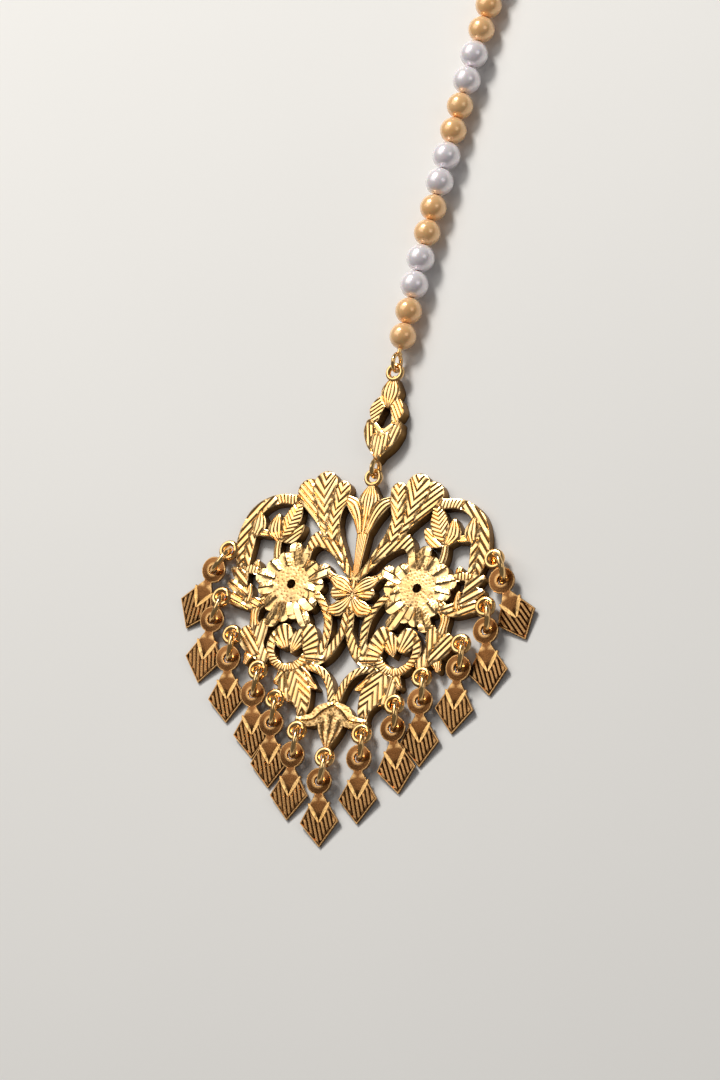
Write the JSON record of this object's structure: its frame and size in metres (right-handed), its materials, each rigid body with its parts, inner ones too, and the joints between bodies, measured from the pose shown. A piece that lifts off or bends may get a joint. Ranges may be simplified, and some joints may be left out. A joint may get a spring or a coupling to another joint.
{
  "type": "maang tikka",
  "caption": "Forehead ornament: pierced gold heart with small hanging drops, a leaf connector, a string of pearls and a hair hook.",
  "frame": {"origin": "on the heart's flat back, under the small star in its middle, on the surface it lies on", "axes": "+Z out of the heart's face, +Y along the heart's axis towards the pearl string, +X to the heart's right"},
  "size_m": [0.054, 0.1481, 0.0043],
  "materials": {
    "gold": "bright gold plating with engraved cuts",
    "drop_gold": "darker gold plating with engraved cuts",
    "white_pearl": "pearlescent",
    "peach_pearl": "pearlescent"
  },
  "bodies": {
    "root": {"heart_plate": "gold", "connector_link": "gold", "pearl_wire": "gold", "hair_hook": "gold", "jump_ring_01": "gold", "jump_ring_02": "gold", "jump_ring_03": "gold", "jump_ring_04": "gold", "jump_ring_05": "gold", "jump_ring_06": "gold", "jump_ring_07": "gold", "jump_ring_08": "gold", "jump_ring_09": "gold", "jump_ring_10": "gold", "jump_ring_11": "gold", "jump_ring_12": "gold", "jump_ring_13": "gold", "drop_01": "drop_gold", "drop_02": "drop_gold", "drop_03": "drop_gold", "drop_04": "drop_gold", "drop_05": "drop_gold", "drop_06": "drop_gold", "drop_07": "drop_gold", "drop_08": "drop_gold", "drop_09": "drop_gold", "drop_10": "drop_gold", "drop_11": "drop_gold", "drop_12": "drop_gold", "drop_13": "drop_gold", "pearl_01": "peach_pearl", "pearl_02": "peach_pearl", "pearl_03": "white_pearl", "pearl_04": "white_pearl", "pearl_05": "peach_pearl", "pearl_06": "peach_pearl", "pearl_07": "white_pearl", "pearl_08": "white_pearl", "pearl_09": "peach_pearl", "pearl_10": "peach_pearl", "pearl_11": "white_pearl", "pearl_12": "white_pearl", "pearl_13": "peach_pearl", "pearl_14": "peach_pearl", "pearl_15": "white_pearl", "pearl_16": "white_pearl"}
  },
  "joints": []
}
